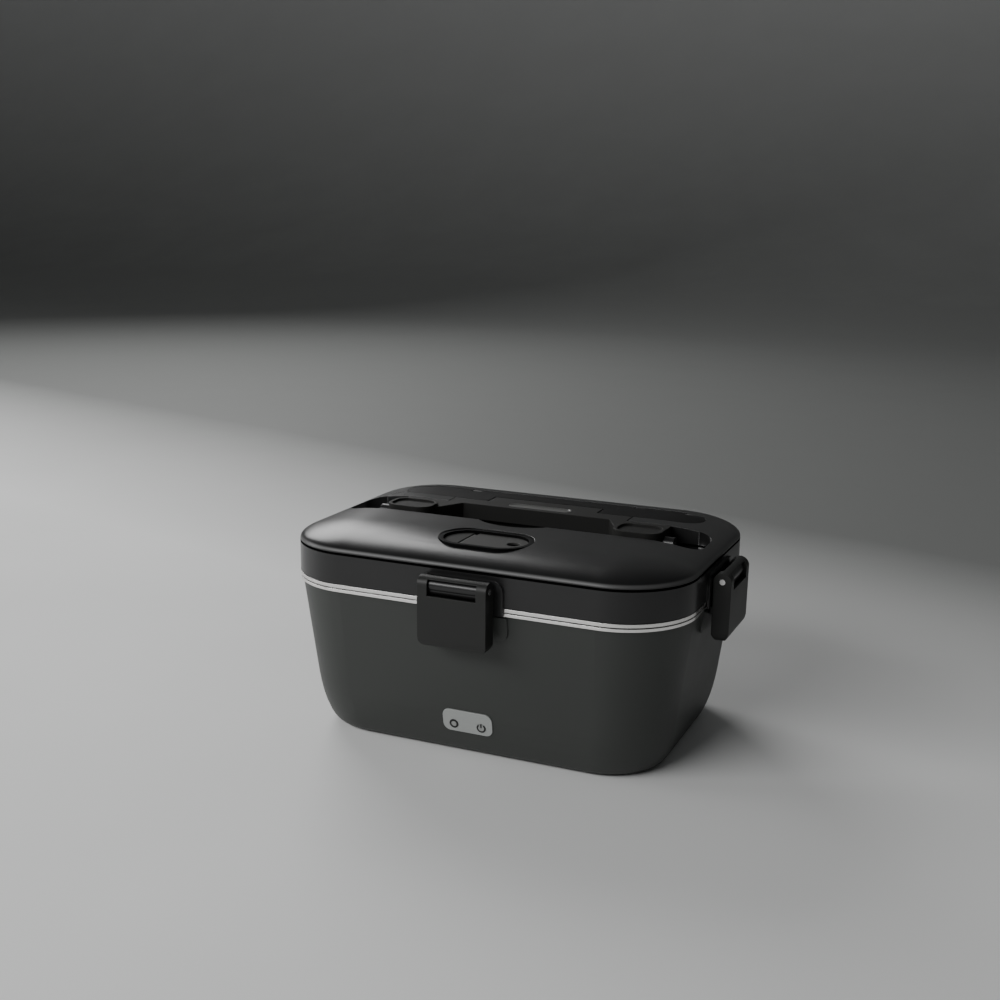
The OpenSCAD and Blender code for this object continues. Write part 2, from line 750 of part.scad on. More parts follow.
// Heights on the lid's top
channel_floor = lid_top - channel_depth;
bar_under = lid_top - bar_t;
pivot_z = lid_top - 5.3;
pad_top = lid_top + 1.7;
well_floor = channel_floor - 3;
mid_under = lid_top - 7.8;
cover_under = lid_top - 2.6;
hinge_z = lid_top - 3.1;
hinge_y = cover_back - 2.5;
hinge_r = 2.5;
knuckle_in = cover_half - 45;
knuckle_w = 6;
hinge_pin_d = 1.6;
pocket_wall = 1.6;
vent_y = vent_back - box_d / 2;
vent_floor = lid_top - 5.4;
post_w = 6;
post_r = 4;
handle_pin_d = 3;
lid_screw_places = [for (x = [-1, 1]) for (y = [-1, 1]) [x * (box_w / 2 - 30), y * (box_d / 2 - 19)]];

// Solid with upright sides and a crown that rises from a crease to a flat top
module crown(inset, z0, z1, rise) {
    r = corner_r - inset;
    half = concat(
        [[0, z0], [r, z0]],
        [for (k = [0 : crown_steps]) let (a = 90 * k / crown_steps) [r * cos(a), z1 + rise * sin(a)]]
    );
    for (c = [[side_x, side_y, 0], [-side_x, side_y, 90], [-side_x, -side_y, 180], [side_x, -side_y, 270]])
        translate([c[0], c[1], 0]) rotate([0, 0, c[2]]) rotate_extrude(angle = 90) polygon(half);
    for (y = [0, 180]) rotate([0, 0, y]) translate([-side_x, side_y, 0]) rotate([90, 0, 90])
        linear_extrude(2 * side_x) polygon(half);
    for (x = [90, 270]) rotate([0, 0, x]) translate([-side_y, side_x, 0]) rotate([90, 0, 90])
        linear_extrude(2 * side_y) polygon(half);
    translate([-side_x, -side_y, z0]) cube([2 * side_x, 2 * side_y, z1 + rise - z0]);
}

// Raises a flat shape from a floor height, sunk by the grow, to above the lid
module up_from(z, grow) {
    translate([0, 0, z - grow]) linear_extrude(lid_top + cut - z + grow) children();
}
// Flat box between two places on X and on Y
module span(x0, x1, y0, y1) {
    translate([x0, y0]) square([x1 - x0, y1 - y0]);
}
// Outline of the cutlery compartment's cover, with the handle's middle cut out of its front
// and its round ends cut short at the back, so that it clears the lid as it turns
barrel_half = cover_half - 14;
end_relief = 1;
module cutlery_outline(grow, relief) {
    difference() {
        translate([0, cover_back - cutlery_w / 2])
            stadium(2 * cover_half + 2 * grow, cutlery_w + 2 * grow);
        span(-mid_half - 1.1 + grow, mid_half + 1.1 - grow, -box_d, mid_back + 0.9 - grow);
        for (x = [0, 1]) mirror([x, 0])
            span(barrel_half + grow, box_w, hinge_y - 3 - relief + grow, box_d);
    }
}
// Every hollow in the lid's top; grown, it is the wall around them
module top_hollows(grow) {
    up_from(channel_floor, grow) {
        translate([0, (channel_front + channel_back) / 2])
            round_rect(
                2 * channel_half + 2 * grow, channel_back - channel_front + 2 * grow, 10 + grow
            );
        span(-bar_half - 0.7 - grow, bar_half + 0.7 + grow, bar_front - 5, bar_back + 0.7 + grow);
    }
    up_from(mid_under - 2, grow)
        span(-mid_half - 0.7 - grow, mid_half + 0.7 + grow, bar_front, mid_back + 0.6 + grow);
    for (x = [0, 1]) mirror([x, 0, 0]) up_from(well_floor, grow)
        span(bar_half - 0.7 - grow, pad_outer + 0.5 + grow, pad_front - 3 - grow, channel_back + grow);
    up_from(lid_top - 7, grow) intersection() {
        translate([0, channel_front + 23.6]) circle(31.6 + grow);
        span(-40, 40, channel_front - 20, channel_front + 8);
    }
    translate([0, vent_y, 0]) up_from(vent_floor, grow) stadium(vent_l + 2 * grow, vent_w + 2 * grow);
    up_from(cover_under - play, grow) cutlery_outline(play + grow, 0);
    up_from(hinge_z - hinge_r - 0.4, grow)
        span(
            -barrel_half - 0.4 - grow, barrel_half + 0.4 + grow,
            hinge_y - 4 - grow, hinge_y + hinge_r + 0.4 + grow
        );
    up_from(lid_top - cutlery_depth, grow) difference() {
        pocket_front = bar_back + 0.7 + pocket_wall;
        pocket_back = hinge_y - hinge_r - 0.6;
        translate([0, (pocket_front + pocket_back) / 2])
            round_rect(2 * cover_half - 10 + 2 * grow, pocket_back - pocket_front + 2 * grow, 8 + grow);
        span(
            -mid_half - 0.7 - pocket_wall + grow, mid_half + 0.7 + pocket_wall - grow,
            -box_d, mid_back + 0.6 + pocket_wall - grow
        );
    }
}

module lid_shell() {
    wall = 2;
    color([0.1, 0.1, 0.1]) difference() {
        union() {
            difference() {
                crown(skirt_inset, lid_edge, crease_h, crown_rise);
                difference() {
                    crown(skirt_in, lid_edge - cut, crease_h - 1, crown_rise - lid_t + 1);
                    top_hollows(wall);
                    for (p = lid_screw_places) translate([p[0], p[1], plate_back_z])
                        cylinder(r = 3.5, h = 40);
                }
                top_hollows(0);
                rim_ring(-5, skirt_inset + 0.7, crease_h - groove_h, crease_h);
                translate([vent_nozzle_x, vent_y, vent_floor - 5]) cylinder(r = 4.5 + 0.2, h = 20);
            }
            for (x = [-1, 1]) handle_post(x);
            for (x = [-1, 1]) knuckle(x);
            for (i = [0 : 3]) lid_pad(i);
            for (i = [0 : 3]) on_side(i) lug();
        }
        for (p = lid_screw_places) translate([p[0], p[1], plate_back_z - cut]) cylinder(r = 1.4, h = 9 + cut);
        for (i = [0 : 3]) on_pivot(i) rotate([0, 90, 0])
            cylinder(d = pin_d + 2 * held_play, h = latch_w + cut, center = true);
        for (x = [-1, 1]) at_handle_pin(x) cylinder(d = handle_pin_d + 2 * held_play, h = 40, center = true);
        for (x = [-1, 1]) at_cutlery_pin(x) cylinder(d = hinge_pin_d + 2 * held_play, h = 30, center = true);
    }
}
// Places children at a side's latch pivot, with -Y outwards
module on_pivot(i) {
    on_side(i) translate([0, -pivot_out, pin_z]) children();
}
// Middle of a handle pin, with Z along the pin
handle_pin_l = post_w + 7;
module at_handle_pin(x) {
    translate([x * (pad_outer + 0.5 + post_w - handle_pin_l / 2), pivot_y, pivot_z])
        rotate([0, 90, 0]) children();
}
// Middle of a cutlery cover pin, with Z along the pin
cutlery_pin_l = knuckle_w + 10;
module at_cutlery_pin(x) {
    translate([x * (knuckle_in + knuckle_w / 2), hinge_y, hinge_z]) rotate([0, 90, 0]) children();
}
// Post in the channel that carries the handle
module handle_post(x) {
    translate([x * (pad_outer + 0.5 + post_w / 2), pivot_y, pivot_z]) {
        rotate([0, 90, 0]) cylinder(r = post_r, h = post_w, center = true);
        translate([-post_w / 2, -post_r, channel_floor - 1 - pivot_z])
            cube([post_w, 2 * post_r, pivot_z - channel_floor + 1]);
    }
}
// Knuckle that carries the cutlery cover
module knuckle(x) {
    translate([x * (knuckle_in + knuckle_w / 2), hinge_y, hinge_z]) {
        rotate([0, 90, 0]) cylinder(r = hinge_r - 0.1, h = knuckle_w, center = true);
        translate([-knuckle_w / 2, 0.1 - hinge_r, -hinge_r - 1.4])
            cube([knuckle_w, 2 * hinge_r + 1, hinge_r + 1.4]);
    }
}
// Pad on the skirt behind a latch, with a tab over the rim below
module lid_pad(i) {
    top = lid_edge + 13.9;
    tab = shell_top + play;
    corner = 6;
    on_side(i) {
        slab(-1.1, skirt_inset + 1) {
            span(-pad_w / 2, pad_w / 2, lid_edge, top - corner);
            span(corner - pad_w / 2, pad_w / 2 - corner, lid_edge, top);
            for (x = [-1, 1]) translate([x * (pad_w / 2 - corner), top - corner]) circle(corner);
        }
        slab(-1.1, 0.1) span(-pad_w / 2, pad_w / 2, tab, lid_edge + 1);
    }
}
// Lug that carries a latch's pin
lug_r = 3.6;
module lug() {
    front = latch_r - latch_t - play;
    translate([0, -pivot_out, pin_z]) {
        rotate([0, 90, 0]) cylinder(r = lug_r, h = lug_w, center = true);
        translate([-lug_w / 2, 0, 0]) rotate([90, 0, 90]) linear_extrude(lug_w)
            polygon([
                [-front, 0], [-front, -5.6], [pivot_out + skirt_inset + 1, -5.6],
                [pivot_out + skirt_inset + 1, -2.2], [0, -2.2], [0, 0]
            ]);
    }
}

module lid_inner_plate() {
    rib_in = skirt_in + 4.6;
    color([0.16, 0.16, 0.16]) difference() {
        union() {
            translate([0, 0, plate_seat_z]) linear_extrude(inner_plate_t) lid_outline(skirt_in + play);
            rim_ring(rib_in, rib_in + 1.2, plate_seat_z - 2.5, plate_seat_z + inner_plate_t / 2);
        }
        for (p = lid_screw_places) translate([p[0], p[1], 0]) cylinder(r = 1.5, h = 200);
        translate([vent_nozzle_x, vent_y, 0]) cylinder(r = 4.5 + play, h = 200);
    }
}
module lid_gasket() {
    outer = skirt_in + 0.9;
    color([0.85, 0.85, 0.85]) rim_ring(outer, outer + gasket_w, tub_seat + tub_flange_t + play, plate_seat_z);
}
module lid_screws() {
    color("silver") for (p = lid_screw_places) translate([p[0], p[1], plate_seat_z])
        screw(1.38, 2.6, 1.2, 9);
}

/* Vent */

vent_nozzle_x = 2;
vent_hinge_x = -11.5;
vent_barrel_r = 0.9;
vent_barrel_l = 19;
vent_ear_w = 1.6;
vent_pin_d = 0.8;
vent_ring_top = lid_top - 0.6;
vent_ring_w = 2.6;
flap_top = lid_top - 2;
flap_t = 1.2;
vent_hinge_z = flap_top - vent_barrel_r;
island_l = vent_l - 2 * (play + vent_ring_w + play);
island_w = vent_w - 2 * (play + vent_ring_w + play);
module vent_seat() {
    color([0.08, 0.08, 0.08]) translate([0, vent_y, 0]) difference() {
        union() {
            translate([0, 0, vent_floor]) linear_extrude(1.2) stadium(vent_l - 2 * play, vent_w - 2 * play);
            translate([0, 0, vent_floor + 0.6]) linear_extrude(vent_ring_top - vent_floor - 0.6) difference() {
                stadium(vent_l - 2 * play, vent_w - 2 * play);
                stadium(island_l + 2 * play, island_w + 2 * play);
            }
            translate([0, 0, vent_floor + 0.6]) linear_extrude(flap_top - vent_floor - 0.6) intersection() {
                stadium(island_l, island_w);
                span(-island_l, vent_hinge_x - vent_barrel_r - 0.4, -island_w, island_w);
            }
            for (y = [-1, 1]) vent_ear(y);
            translate([vent_nozzle_x, 0, plate_seat_z - 1.5])
                cylinder(r = 4.5, h = vent_floor + 0.6 - plate_seat_z + 1.5);
        }
        translate([vent_nozzle_x, 0, 0]) cylinder(r = 2.2, h = 200);
        at_vent_hinge() cylinder(d = vent_pin_d + 2 * held_play, h = island_w + cut, center = true);
        at_vent_hinge() cylinder(r = vent_barrel_r + play, h = vent_barrel_l + 2 * play, center = true);
    }
}
// Middle of the flap's hinge, with Z along its pin
module at_vent_hinge() {
    translate([vent_hinge_x, 0, vent_hinge_z]) rotate([90, 0, 0]) children();
}
// Ear on the seat that holds one end of the flap's pin
module vent_ear(y) {
    middle = (vent_barrel_l + vent_ear_w) / 2 + play;
    at_vent_hinge() translate([0, 0, y * middle])
        cylinder(r = vent_barrel_r, h = vent_ear_w, center = true);
    translate([vent_hinge_x - vent_barrel_r, y * middle - vent_ear_w / 2, vent_floor + 0.6])
        cube([2 * vent_barrel_r, vent_ear_w, vent_hinge_z - vent_floor - 0.6]);
}
module vent_pin() {
    color("silver") translate([0, vent_y, 0]) at_vent_hinge()
        cylinder(d = vent_pin_d, h = vent_barrel_l + 2 * vent_ear_w + 2 * play, center = true);
}
module vent_flap() {
    color([0.1, 0.1, 0.1]) translate([0, vent_y, 0]) difference() {
        union() {
            translate([0, 0, flap_top - flap_t]) linear_extrude(flap_t) difference() {
                intersection() {
                    stadium(island_l, island_w);
                    span(vent_hinge_x, island_l, -island_w, island_w);
                }
                for (y = [-1, 1]) translate([vent_hinge_x, y * island_w / 2])
                    square([3, island_w - vent_barrel_l], center = true);
                translate([island_l / 2 - 8, 0.5]) circle(3.6);
            }
            at_vent_hinge() cylinder(r = vent_barrel_r, h = vent_barrel_l, center = true);
            translate([vent_nozzle_x, 0, flap_top - flap_t - 2]) cylinder(r = 1.8, h = 2 + flap_t / 2);
        }
        at_vent_hinge() cylinder(d = vent_pin_d + 2 * pin_play, h = island_w, center = true);
    }
}

/* Latches */

module latch_pin(i) {
    color("silver") on_pivot(i) rotate([0, 90, 0]) cylinder(d = pin_d, h = latch_w, center = true);
}
module front_latch_pin() { latch_pin(0); }
module right_latch_pin() { latch_pin(1); }
module back_latch_pin() { latch_pin(2); }
module left_latch_pin() { latch_pin(3); }

// Latch in its shut place, with the pivot at the origin and -Y outwards
module latch() {
    window = lug_w / 2 + play;
    in_w = latch_w - 4.4;
    inner = pivot_out - 1.6;
    low = -latch_drop;
    hook_z = catch_z - play - pin_z;
    hook_in = pivot_out - catch_out - play;
    sole_t = 4.6;
    end_r = 5;
    difference() {
        union() {
            rotate([0, 90, 0]) cylinder(r = latch_r, h = latch_w, center = true);
            intersection() {
                translate([-latch_w / 2, 0, 0]) rotate([90, 0, 90]) linear_extrude(latch_w)
                    polygon([
                        [-latch_r, 0], [0.3 - latch_r, low + 5.6], [0.9 - latch_r, low + 3],
                        [2.4 - latch_r, low + 1], [0, low + 0.2], [2, low], [inner - 1.7, low + 0.6],
                        [inner, low + 4], [inner, -2], [inner - 0.4, 0]
                    ]);
                rotate([90, 0, 0]) linear_extrude(50, center = true) {
                    span(-latch_w / 2, latch_w / 2, low + end_r, cut);
                    span(end_r - latch_w / 2, latch_w / 2 - end_r, low, low + end_r + cut);
                    for (x = [-1, 1]) translate([x * (latch_w / 2 - end_r), low + end_r]) circle(end_r);
                }
            }
        }
        translate([-in_w / 2, latch_t - latch_r, low + sole_t])
            cube([in_w, 20, latch_drop - latch_r - sole_t]);
        translate([-window, -20, -latch_r]) cube([2 * window, 40, latch_r + lug_r]);
        translate([-window, 0.5, -latch_r]) cube([2 * window, 20, 2 * latch_r + cut]);
        rotate([0, 90, 0]) cylinder(r = lug_r + play, h = 2 * window, center = true);
        rotate([0, 90, 0]) cylinder(d = pin_d + 2 * pin_play, h = latch_w + cut, center = true);
        translate([-catch_w / 2 - 0.5, hook_in, low - cut]) cube([catch_w + 1, 20, 10]);
    }
    translate([-catch_w / 2 + 1, 0, 0]) rotate([90, 0, 90]) linear_extrude(catch_w - 2)
        polygon([
            [latch_t / 2 - latch_r, hook_z], [hook_in, hook_z], [hook_in, hook_z - 1],
            [latch_t / 2 - latch_r, hook_z - 4]
        ]);
}
module side_latch(i) { color([0.19, 0.19, 0.18]) on_pivot(i) latch(); }
module front_latch() { side_latch(0); }
module right_latch() { side_latch(1); }
module back_latch() { side_latch(2); }
module left_latch() { side_latch(3); }

/* Handle */

module handle_pins() {
    color("silver") for (x = [-1, 1]) at_handle_pin(x)
        cylinder(d = handle_pin_d, h = handle_pin_l, center = true);
}
inlay_t = 0.8;
inlay_l = bar_half * 0.7;
inlay_w = 8;
inlay_y = bar_back - 3.2;
module carry_handle() {
    color([0.17, 0.17, 0.17]) difference() {
        union() {
            translate([0, 0, bar_under]) linear_extrude(bar_t) span(-bar_half, bar_half, bar_front, bar_back);
            translate([0, 0, mid_under]) linear_extrude(lid_top - mid_under)
                span(-mid_half, mid_half, bar_back - 1, mid_back);
            for (x = [-1, 1]) {
                translate([x * (pad_outer - handle_pad_l / 2), pivot_y, bar_under])
                    linear_extrude(pad_top - bar_under) round_rect(handle_pad_l, handle_pad_w, 8);
                translate([0, 0, bar_under]) linear_extrude(bar_t)
                    mirror([x < 0 ? 1 : 0, 0]) polygon([
                        [bar_half, pivot_y], [pad_outer - 1.5, pivot_y],
                        [pad_outer - 1.5, bar_front + 1], [bar_half - 10, bar_front + 1],
                        [bar_half - 10, bar_front]
                    ]);
            }
        }
        for (x = [-1, 1]) translate([x * (pad_outer - handle_pad_l / 2), pivot_y, pad_top - 1.2])
            linear_extrude(1.2 + cut) round_rect(handle_pad_l - 4, handle_pad_w - 4, 6);
        for (x = [-1, 1]) at_handle_pin(x)
            cylinder(d = handle_pin_d + 2 * pin_play, h = handle_pin_l + 1, center = true);
        translate([0, inlay_y, lid_top - inlay_t]) linear_extrude(inlay_t + cut)
            stadium(inlay_l + 0.2, inlay_w + 0.2);
    }
}
module handle_inlay() {
    color([0.5, 0.5, 0.5]) translate([0, inlay_y, lid_top - inlay_t]) linear_extrude(inlay_t)
        stadium(inlay_l, inlay_w);
}

/* Cutlery cover */

module cutlery_pins() {
    color("silver") for (x = [-1, 1]) at_cutlery_pin(x)
        cylinder(d = hinge_pin_d, h = cutlery_pin_l, center = true);
}
module cutlery_cover() {
    color([0.14, 0.14, 0.14]) difference() {
        union() {
            intersection() {
                crown(skirt_inset, crease_h - 1, crease_h, crown_rise);
                translate([0, 0, cover_under]) linear_extrude(20) intersection() {
                    cutlery_outline(0, end_relief);
                    span(-box_w, box_w, -box_d, hinge_y);
                }
            }
            translate([0, hinge_y, hinge_z]) rotate([0, 90, 0])
                cylinder(r = hinge_r, h = 2 * barrel_half, center = true);
        }
        for (x = [-1, 1]) at_cutlery_pin(x) {
            cube([20, 7, knuckle_w + 2 * play], center = true);
            cylinder(d = hinge_pin_d + 2 * pin_play, h = cutlery_pin_l + 1, center = true);
        }
    }
}

base_shell();
bottom_cover();
rubber_feet();
cover_screws();
trim_ring();
inner_liner();
heater_plate();
plate_seal();
heating_blocks();
heater_clamp();
clamp_screws();
insulation_board();
thermostat();
thermal_fuse();
indicator_plate();
lamp_lens();
power_mark_lens();
lamp_board();
board_screws();
inlet_housing();
inlet_pins();
live_lead();
neutral_lead();
lamp_leads();
food_container();
lid_shell();
lid_inner_plate();
lid_gasket();
lid_screws();
vent_seat();
front_latch_pin();
back_latch_pin();
left_latch_pin();
right_latch_pin();
handle_pins();
cutlery_pins();
vent_pin();
front_latch();
back_latch();
left_latch();
right_latch();
carry_handle();
handle_inlay();
vent_flap();
cutlery_cover();
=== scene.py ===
# %% [markdown]
# # An electric lunch box
# The object is a heated lunch box: a dark matte base with a swept lower wall, a bright
# steel rim, and a satin black lid that latches hold down. The packed CAD model gives the
# frame. It is loaded first, and everything below is placed in its coordinates, in metres.

# %% Load the packed frame
import json
import math
import bmesh
import bpy
from mathutils import Matrix, Vector

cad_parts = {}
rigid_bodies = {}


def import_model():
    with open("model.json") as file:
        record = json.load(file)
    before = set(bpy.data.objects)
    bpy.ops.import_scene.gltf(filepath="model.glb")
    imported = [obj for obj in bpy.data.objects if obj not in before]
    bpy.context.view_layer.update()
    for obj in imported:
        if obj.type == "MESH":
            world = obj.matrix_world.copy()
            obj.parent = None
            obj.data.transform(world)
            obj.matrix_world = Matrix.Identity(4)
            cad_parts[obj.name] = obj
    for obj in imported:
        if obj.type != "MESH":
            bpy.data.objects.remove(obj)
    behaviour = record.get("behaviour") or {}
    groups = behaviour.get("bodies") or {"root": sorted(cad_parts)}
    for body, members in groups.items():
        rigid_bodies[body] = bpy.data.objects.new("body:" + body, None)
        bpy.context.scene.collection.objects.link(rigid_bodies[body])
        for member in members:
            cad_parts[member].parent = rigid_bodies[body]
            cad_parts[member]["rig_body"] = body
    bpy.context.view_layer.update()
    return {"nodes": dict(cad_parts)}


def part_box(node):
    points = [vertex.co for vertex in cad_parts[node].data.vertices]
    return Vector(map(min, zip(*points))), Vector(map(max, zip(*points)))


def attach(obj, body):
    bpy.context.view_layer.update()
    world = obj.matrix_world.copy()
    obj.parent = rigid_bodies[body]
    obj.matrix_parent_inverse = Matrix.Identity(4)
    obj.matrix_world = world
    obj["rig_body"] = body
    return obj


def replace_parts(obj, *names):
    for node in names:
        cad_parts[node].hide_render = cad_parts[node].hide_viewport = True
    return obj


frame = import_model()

# %% [markdown]
# The camera comes first, because it decides which details matter. The photograph was taken
# from the front and a little from the right, from above the lid, with a normal lens. The
# camera's place and turn were fitted to the box's outline, so the matrix is built from a
# yaw, a pitch and a small roll.

# %% Camera
MM = 0.001
# All in millimetres and degrees.
LENS, SENSOR = 48.094, 36
CAMERA_PLACE = (283.987, -686.272, 301.38)
YAW, PITCH, ROLL = 23.499, 13.11, 0.735


def look(yaw, pitch, roll):
    """Axes of a camera that looks along +Y when all three angles are zero."""
    yaw, pitch, roll = (math.radians(v) for v in (yaw, pitch, roll))
    ahead = Vector((
        -math.sin(yaw) * math.cos(pitch), math.cos(yaw) * math.cos(pitch), -math.sin(pitch)
    ))
    level = Vector((math.cos(yaw), math.sin(yaw), 0))
    upright = level.cross(ahead)
    right = level * math.cos(roll) + upright * math.sin(roll)
    up = upright * math.cos(roll) - level * math.sin(roll)
    return Matrix((right, up, -ahead)).transposed()


camera = bpy.data.objects.new("camera", bpy.data.cameras.new("camera"))
bpy.context.scene.collection.objects.link(camera)
camera.data.lens, camera.data.sensor_width = LENS, SENSOR
camera.matrix_world = (
    Matrix.Translation(Vector(CAMERA_PLACE) * MM) @ look(YAW, PITCH, ROLL).to_4x4()
)
camera.data.clip_start, camera.data.clip_end = 0.02, 20
bpy.context.scene.camera = camera
print("camera at", [round(v, 3) for v in camera.location])

# %% [markdown]
# Plastic, steel and rubber all get their look from a few nodes. Writing shader maths as
# plain arithmetic keeps each recipe short: a small class wraps a socket, and adding or
# multiplying two of them makes the Math node. The reflected forms let a number stand on
# the left. Every other node comes from one method.


# %% A socket that takes part in sums
def arithmetic(operation):
    """The two methods of an operator: with the wire on the left, and on the right."""
    def forward(self, other):
        return self.sum(operation, self, other)

    def reflected(self, other):
        return self.sum(operation, other, self)

    return forward, reflected


class Wire:
    """An output socket of a finish, used in sums like a number."""

    def __init__(self, finish, socket):
        self.finish, self.socket = finish, socket

    def sum(self, operation, a, b, **more):
        return self.finish.node("ShaderNodeMath", dict(operation=operation, **more), {0: a, 1: b})

    __add__, __radd__ = arithmetic("ADD")
    __sub__, __rsub__ = arithmetic("SUBTRACT")
    __mul__, __rmul__ = arithmetic("MULTIPLY")
    __truediv__, __rtruediv__ = arithmetic("DIVIDE")
    __pow__, __rpow__ = arithmetic("POWER")

    def __gt__(self, other):
        return self.sum("GREATER_THAN", self, other)

    def __lt__(self, other):
        return self.sum("LESS_THAN", self, other)

    def __abs__(self):
        return self.sum("ABSOLUTE", self, 0.0)

    def clamped(self):
        """Held between zero and one."""
        return self.sum("ADD", self, 0.0, use_clamp=True)

    def beyond(self, reach):
        """How far the value lies past reach on either side of zero, or zero within it."""
        return self.sum("MAXIMUM", abs(self) - reach, 0.0)


print("reflected operators", [name for name in vars(Wire) if name.startswith("__r")])


# %% A finish under construction
BEVEL_SAMPLES = 6


class Finish:
    """A material whose nodes are made one by one."""

    def __init__(self, name):
        self.material = bpy.data.materials.new(name)
        self.material.use_nodes = True
        self.tree = self.material.node_tree
        self.tree.nodes.clear()

    def node(self, kind, settings=None, sockets=None, out=0):
        """A node of one kind: its settings are set first, then its sockets' values or links."""
        made = self.tree.nodes.new(kind)
        for key, value in (settings or {}).items():
            setattr(made, key, value)
        for key, value in (sockets or {}).items():
            if isinstance(value, Wire):
                self.tree.links.new(value.socket, made.inputs[key])
            else:
                made.inputs[key].default_value = value
        return Wire(self, made.outputs[out])

    def place(self):
        return self.node("ShaderNodeTexCoord", out="Object")

    def along(self, axis):
        """The place along X, Y or Z, in metres, by the axis's number."""
        return self.node("ShaderNodeSeparateXYZ", {}, {0: self.place()}, out=axis)

    def noise(self, size, detail=3.0, roughness=0.55, stretch=(1, 1, 1)):
        """Noise whose grains are about size millimetres across."""
        place = self.node("ShaderNodeMapping", {}, {"Vector": self.place(), "Scale": stretch})
        return self.node("ShaderNodeTexNoise", {}, {
            "Vector": place, "Scale": 1 / (size * MM), "Detail": detail, "Roughness": roughness
        })

    def mix(self, amount, low, high):
        """A colour between two others, by an amount from zero to one."""
        colours = {0: amount, 6: low, 7: high}
        return self.node("ShaderNodeMix", {"data_type": "RGBA"}, colours, out=2)

    def eased(self, rounding):
        """Normal that turns softly over each edge, within rounding millimetres of it."""
        return self.node(
            "ShaderNodeBevel", {"samples": BEVEL_SAMPLES}, {"Radius": rounding * MM}
        )

    def bumped(self, height, depth, rounding=0.0):
        """Normal of a surface with a relief of depth millimetres and edges eased by rounding."""
        sockets = {"Height": height, "Strength": 1.0, "Distance": depth * MM}
        if rounding:
            sockets["Normal"] = self.eased(rounding)
        return self.node("ShaderNodeBump", {}, sockets)

    def shader(self, **sockets):
        """A Principled shader; words become the shader's own socket names."""
        named = {key.replace("_", " "): value for key, value in sockets.items()}
        return self.node("ShaderNodeBsdfPrincipled", {}, named)

    def finished(self, shader):
        """The material, with a shader on its output."""
        out = self.tree.nodes.new("ShaderNodeOutputMaterial")
        self.tree.links.new(shader.socket, out.inputs["Surface"])
        return self.material

    def done(self, **sockets):
        """The material, with one Principled shader."""
        return self.finished(self.shader(**sockets))


def shade(colour, factor=1):
    """A colour made darker or lighter by a factor, as the four numbers that a socket takes."""
    return tuple(min(1, c * factor) for c in colour) + (1,)


print("a light grey made darker", shade((0.5, 0.5, 0.5), 0.8))

# %% [markdown]
# The base, the latches and the handle are moulded in dark grey plastic. The mould is
# spark-eroded, so the skin has a fine even grain, and handling polishes it unevenly. A
# small noise makes the grain, and a wide one shifts the gloss. The Bevel node turns the
# light softly over each edge, as on a moulded corner, without any more faces.

# %% Moulded plastic
# Millimetres across one patch of gloss.
WIDE_PATCH = 38.0


def moulded(name, colour, rough, grain=0.35, relief=0.012, easing=0.35, shine=0.5, patch=0.05):
    """Plastic with its grain, relief and eased edges in millimetres, patchy in its colour."""
    f = Finish(name)
    fine = f.noise(grain, detail=2.0)
    broad = f.noise(WIDE_PATCH)
    specks = (f.noise(2.2, detail=2.0) - 0.62) * 6.0
    tone = (broad * 0.6 + fine * 0.4).clamped()
    return f.done(
        Base_Color=f.mix(tone, shade(colour, 1 - 2 * patch), shade(colour, 1 + 2 * patch)),
        Roughness=(rough + (broad - 0.5) * 0.16 + specks.clamped() * 0.05).clamped(),
        Normal=f.bumped(fine, relief, easing),
        Specular_IOR_Level=shine,
    )


base_grey = moulded("base_grey", (0.034, 0.037, 0.034), 0.50)
latch_grey = moulded("latch_grey", (0.016, 0.0165, 0.0155), 0.46, easing=0.5, shine=0.35)
handle_grey = moulded("handle_grey", (0.020, 0.020, 0.019), 0.52, easing=0.6, shine=0.12)
cover_dark = moulded(
    "cover_dark", (0.006, 0.006, 0.006), 0.5, grain=0.25, relief=0.004, easing=0.4, shine=0.08
)
flap_grey = moulded(
    "flap_grey", (0.055, 0.055, 0.053), 0.42, grain=0.25, relief=0.004, easing=0.3, shine=0.2
)
inner_black = moulded("inner_black", (0.012, 0.012, 0.012), 0.55, easing=0.3)
print("plastics", len(bpy.data.materials))

# %% [markdown]
# The lid is satin black. A crease runs round it where the skirt meets the dome. No light
# reaches its bottom, so the groove is painted as a black line of shade, and the lip right
# above it gets a painted highlight: a paler colour where the front light would catch the
# rounded lip. Both are bands of height: the painted highlight changes the colour, and the
# painted shade in the groove is a second, dull shader that a mix brings in. The painted
# highlight is kept to the outside of the lid, because the walls of the pockets cross the
# same heights.

# %% The lid's satin black
# In millimetres, as in the CAD source: the dome's straight sides, its reach past them,
# the height of the crease and the dome's rise over it.
DOME_SIDES, DOME_REACH = (74.0, 41.5), 41.5
CREASE, DOME_RISE = 108.9, 9.5
LIP_DEPTH = 4


def crease_band(height, low, high, soft):
    """One between two heights in millimetres from the crease, fading over soft past both."""
    start, end = CREASE + low - soft, CREASE + high + soft
    rising = ((height - start * MM) / (soft * MM)).clamped()
    falling = ((end * MM - height) / (soft * MM)).clamped()
    return rising * falling


